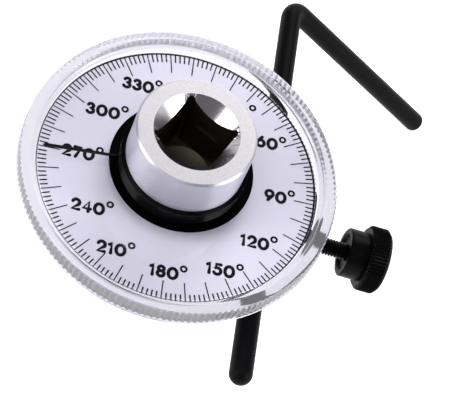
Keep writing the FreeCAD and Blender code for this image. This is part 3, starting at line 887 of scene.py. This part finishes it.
def add_rod(black):
    """Bent round rod with a thicker rolled lower end."""
    straight = (ROD_BELOW - GRIP_LENGTH + ROD_ABOVE - BEND_RADIUS) * MM
    leg = (LEG_LENGTH - BEND_RADIUS) * MM
    piece = new_piece("arm", bpy.ops.mesh.primitive_circle_add, vertices=48, radius=ROD_RADIUS * MM,
                      fill_type="NGON")
    edit(piece)
    bpy.ops.mesh.select_all(action="SELECT")
    bpy.ops.mesh.extrude_region_move(TRANSFORM_OT_translate={"value": (0, 0, straight)})
    bpy.ops.mesh.spin(steps=16, angle=-math.pi / 2, center=(BEND_RADIUS * MM, 0, straight), axis=(0, 1, 0))
    bpy.ops.mesh.extrude_region_move(TRANSFORM_OT_translate={"value": (leg, 0, 0)})
    deselect_all()
    clean(piece)
    edit(piece)
    pick(piece, "FACE", lambda face: face.normal.x > 0.99 and face.calc_center_median().x > leg / 2)
    bpy.ops.mesh.bevel(offset=LEG_TIP_ROUND * MM, segments=6, affect="EDGES")
    deselect_all()
    foot = lathe("arm_foot", arc(0, GRIP_RADIUS, GRIP_RADIUS, -90, 0, 10) + [
        (GRIP_RADIUS, GRIP_LENGTH - GRIP_CHAMFER), (ROD_RADIUS, GRIP_LENGTH),
        (ROD_RADIUS, GRIP_LENGTH + PAST), (0, GRIP_LENGTH + PAST)], steps=48)
    place(foot, Matrix.Translation((0, 0, -GRIP_LENGTH * MM)))
    combine(piece, foot, "UNION")
    drop = math.radians(LEG_DROP)
    leg_way = HOLDER_WAY * math.cos(drop) - Vector((0, 0, 1)) * math.sin(drop)
    turn = Matrix((leg_way, ARM_WAY.cross(leg_way), ARM_WAY)).transposed().to_4x4()
    start = ROD_CROSSING - ARM_WAY * (ROD_BELOW - GRIP_LENGTH)
    place(piece, Matrix.Translation(start * MM) @ turn)
    clean(piece)
    smooth(piece, 35)
    dress(piece, [black], "arm", ["arm_rod"])


def add_stud(black):
    """Threaded stud, its thread wound by a Screw modifier."""
    pitch = THREAD_PITCH
    turns = round((COLLAR_START + 0.5 - THREAD_START) / pitch)
    piece = draw_outline("thumb_screw_thread", [
        (CORE_RADIUS, 0), (THREAD_RADIUS, pitch * 0.35), (THREAD_RADIUS, pitch * 0.5),
        (CORE_RADIUS, pitch * 0.85), (CORE_RADIUS, pitch)])
    deselect_all()
    modify(piece, "SCREW", angle=2 * math.pi, screw_offset=pitch * MM, iterations=turns, steps=32,
           render_steps=32, use_merge_vertices=True, merge_threshold=MM / 500)
    place(piece, Matrix.Translation((0, 0, THREAD_START * MM)))
    core = CORE_RADIUS + 0.02
    root = COLLAR_START + STUD_IN_HEAD
    shank = lathe("shank", [(0, STUD_TIP), (STUD_TIP_RADIUS, STUD_TIP), (core, THREAD_START), (core, root),
                            (0, root)], steps=48)
    clean(piece)
    join([piece, shank])
    place(piece, CLAMP)
    smooth(piece, 30)
    dress(piece, [black], "thumb_screw", ["thumb_screw_stud"])


def add_knob(black):
    """Straight-knurled head with a turned collar."""
    start = COLLAR_START
    neck = start + COLLAR_LENGTH
    face = neck + KNOB_THICKNESS
    edge = KNOB_RADIUS - KNOB_CHAMFER
    piece = lathe("thumb_head", [
        (HEAD_BORE, start + HEAD_BORE_DEPTH), (HEAD_BORE, start + RECESS_DEPTH),
        (RECESS_RADIUS, start + RECESS_DEPTH), (RECESS_WIDE_RADIUS, start),
        (COLLAR_RADIUS - COLLAR_EDGE, start), (COLLAR_RADIUS, start + COLLAR_EDGE),
        (COLLAR_RADIUS, neck), (edge, neck),
        (KNOB_RADIUS, neck + KNOB_CHAMFER), (KNOB_RADIUS, face - KNOB_CHAMFER), (edge, face), (0, face)],
        steps=2 * KNOB_RIDGES)
    step = math.pi / KNOB_RIDGES

    def in_root(vertex):
        turn = round(math.atan2(vertex.co.y, vertex.co.x) / step)
        return turn % 2 == 1 and away_of(vertex.co) > KNOB_RADIUS - 0.05

    edit(piece)
    pick(piece, "VERT", in_root)
    shrink = (KNOB_RADIUS - KNOB_RIDGE_DEPTH) / KNOB_RADIUS
    bpy.ops.transform.resize(value=(shrink, shrink, 1), center_override=(0, 0, 0))
    deselect_all()
    place(piece, CLAMP)
    smooth(piece, 20)
    dress(piece, [black], "thumb_screw", ["thumb_knob"])


# Stage

def seen_white(tree):
    """1 for rays that should find the white background: camera, mirror and see-through rays."""
    path = add_node(tree, "ShaderNodeLightPath")
    seen = path.outputs["Is Camera Ray"]
    for kind in ("Is Glossy Ray", "Is Transmission Ray"):
        both = {0: seen, 1: path.outputs[kind]}
        seen = add_node(tree, "ShaderNodeMath", both, operation="MAXIMUM").outputs[0]
    return seen


def add_floor():
    """Pale floor under the lowest point."""
    floor = new_piece("floor", bpy.ops.mesh.primitive_plane_add, size=FLOOR_SIZE * MM)
    place(floor, Matrix.Translation((0, 0, cad_box[0].z - FLOOR_GAP * MM)))
    material, tree = new_material("pale_floor")
    diffuse = add_node(tree, "ShaderNodeBsdfDiffuse", {"Color": linear("#f2f2f4")})
    glow = add_node(tree, "ShaderNodeEmission", {"Color": (1, 1, 1, 1), "Strength": FLOOR_GLOW})
    lit = add_node(tree, "ShaderNodeAddShader", {0: diffuse.outputs[0], 1: glow.outputs[0]})
    mixed = add_node(tree, "ShaderNodeMixShader", {0: seen_white(tree), 1: diffuse.outputs[0],
                                                   2: lit.outputs[0]})
    add_node(tree, "ShaderNodeOutputMaterial", {"Surface": mixed.outputs[0]})
    floor.data.materials.append(material)


def add_world():
    """White behind the object, white in mirrored and bent rays only near the horizon, and dim elsewhere."""
    world = bpy.data.worlds.new("studio")
    bpy.context.scene.world = world
    world.use_nodes = True
    tree = world.node_tree
    tree.nodes.clear()
    path = add_node(tree, "ShaderNodeLightPath")
    bent = add_node(tree, "ShaderNodeMath", {0: path.outputs["Is Glossy Ray"],
                                             1: path.outputs["Is Transmission Ray"]}, operation="MAXIMUM")
    way = add_node(tree, "ShaderNodeTexCoord").outputs["Generated"]
    rise = add_node(tree, "ShaderNodeSeparateXYZ", {0: way}).outputs[2]
    white_to, dim_from = HORIZON_RISES
    low = add_node(tree, "ShaderNodeMapRange", {0: rise, 1: white_to, 2: dim_from, 3: 1.0, 4: 0.0}).outputs[0]
    bent_low = add_node(tree, "ShaderNodeMath", {0: bent.outputs[0], 1: low}, operation="MULTIPLY")
    seen = add_node(tree, "ShaderNodeMath", {0: path.outputs["Is Camera Ray"], 1: bent_low.outputs[0]},
                    operation="MAXIMUM")
    dim = add_node(tree, "ShaderNodeBackground", {"Color": linear("#dcdce8"), "Strength": ROOM_LIGHT})
    white = add_node(tree, "ShaderNodeBackground", {"Color": (1, 1, 1, 1), "Strength": 1.0})
    mixed = add_node(tree, "ShaderNodeMixShader", {0: seen.outputs[0], 1: dim.outputs[0],
                                                   2: white.outputs[0]})
    add_node(tree, "ShaderNodeOutputWorld", {"Surface": mixed.outputs[0]})


def add_softbox(name, place_mm, size_mm, watts):
    """White area lamp aimed at the dial."""
    lamp = bpy.data.lights.new(name, "AREA")
    lamp.shape = "RECTANGLE"
    lamp.size, lamp.size_y = [s * MM for s in size_mm]
    lamp.energy = watts
    softbox = bpy.data.objects.new(name, lamp)
    softbox.location = Vector(place_mm) * MM
    aim = DIAL_MIDDLE - Vector(place_mm)
    softbox.rotation_euler = aim.to_track_quat("-Z", "Y").to_euler()
    softbox.visible_camera = False
    bpy.context.scene.collection.objects.link(softbox)


bpy.context.scene.view_settings.view_transform = "Standard"
add_camera()

# Chrome plate over turned steel: the turning draws each reflection out into a soft upright band. Its colours
# are set darker than the top face's chrome, as painted shade on the socket's turned sides.
turned = satin_chrome("satin_turned_chrome_painted_shade", "#bdbbc8", "#d6d5df", 0.42, 0.2, turned=0.85)
# Chrome plate over blasted steel: a pale, even, faintly sparkling face.
blasted = satin_chrome("fine_blasted_chrome_plate", "#bfbcc0", "#f1eef1", 0.42, 0.7)
# Chrome plate over a reamed cone: bright and dark patches with soft edges.
bright = satin_chrome("bright_reamed_chrome_plate", "#c4c0c4", "#dcd9dc", 0.22, 0.2)
# Broached steel inside the socket: a warm near-black colour that is painted shade in the hollow, where the
# square's flats barely show.
oxide = plain("broached_steel_painted_shade", "#3c372e", 0.32, metallic=0.8)
# Gloss moulded ABS: deep black with narrow highlights on its edges.
gloss_black = plain("gloss_black_moulded_abs", "#020203", 0.14, Specular_IOR_Level=0.12)
# Matt moulded nylon: an even black that soft light barely lifts.
matt_black = plain("matt_black_moulded_nylon", "#050506", 0.5, Specular_IOR_Level=0.08)
# Steel rod under black oxide: a dull black with one wide, faint streak along it.
rod_black = plain("black_oxide_steel_rod", "#030204", 0.48, Specular_IOR_Level=0.08)
# Knurled steel under black oxide: black, with a faint glint along its ridges.
knob_black = plain("black_oxide_knurled_steel", "#030303", 0.4, Specular_IOR_Level=0.07)
# Screen ink: flat black marks with hardly any shine.
ink = plain("black_screen_ink", "#040308", 0.5, Specular_IOR_Level=0.05)
# Printed plastic sheet: a soft cool white behind the marks.
white = plain("white_printed_sheet", "#efeef3", 0.55)
# Polished acrylic: a window that is seen only by its sharp reflections.
polished = clear_acrylic("clear_polished_acrylic", "#dddce3", 0.02, 1.0)
# Moulded acrylic: a slight haze that softens what lies under the rim, and a grey tint darker than the
# window's, which is painted shade on the rim.
moulded = clear_acrylic("moulded_acrylic_painted_shade", "#cbcad2", 0.12, 0.75)
# Fluted acrylic: ridges that sparkle, on an edge made pale by a lighter, partly opaque whitish colour, which
# is painted light.
fluted = clear_acrylic("fluted_acrylic_painted_light", "#f0eff5", 0.06, 0.65)
# Oiled spring steel: a dark metal grey with soft glints.
spring_steel = plain("oiled_spring_steel", "#77767c", 0.35, metallic=1.0)

add_spindle(turned, blasted, bright, oxide)
add_spring(spring_steel)
add_pointer_ring(gloss_black)
add_bush(gloss_black)
add_cover(polished, moulded, fluted)
add_plate(white)
add_ticks(ink)
add_numbers(ink)
add_holder(matt_black)
add_rod(rod_black)
add_stud(knob_black)
add_knob(knob_black)

# Pieces that keep their CAD shape
NODE_MATERIALS = {
    # Enamelled steel: black with a small clear highlight.
    "pointer_needle": plain("black_enamelled_steel", "#050507", 0.3, Specular_IOR_Level=0.2),
    # Polished steel: a mirror-bright point in the tang.
    "detent_ball": plain("polished_steel_ball", "#d8d8dc", 0.12, metallic=1.0),
    # Zinc plate: a dull silver.
    "thrust_washer": plain("zinc_plated_washer", "#bcbcc2", 0.35, metallic=1.0),
    # Phosphated spring steel: a dark satin grey.
    "retaining_circlip": plain("phosphated_spring_clip", "#4a494d", 0.45, metallic=1.0),
    # Natural nylon: a milky off-white.
    "friction_washer": plain("natural_nylon_washer", "#e4e1d6", 0.5),
    # Turned brass: a warm yellow ring in the black block.
    "threaded_insert": plain("turned_brass_insert", "#caa45c", 0.3, metallic=1.0),
}
for name, material in NODE_MATERIALS.items():
    paint(frame["nodes"][name], [material])

add_floor()
add_world()
for name, (place_mm, size_mm, watts) in SOFTBOXES.items():
    add_softbox(name, place_mm, size_mm, watts)
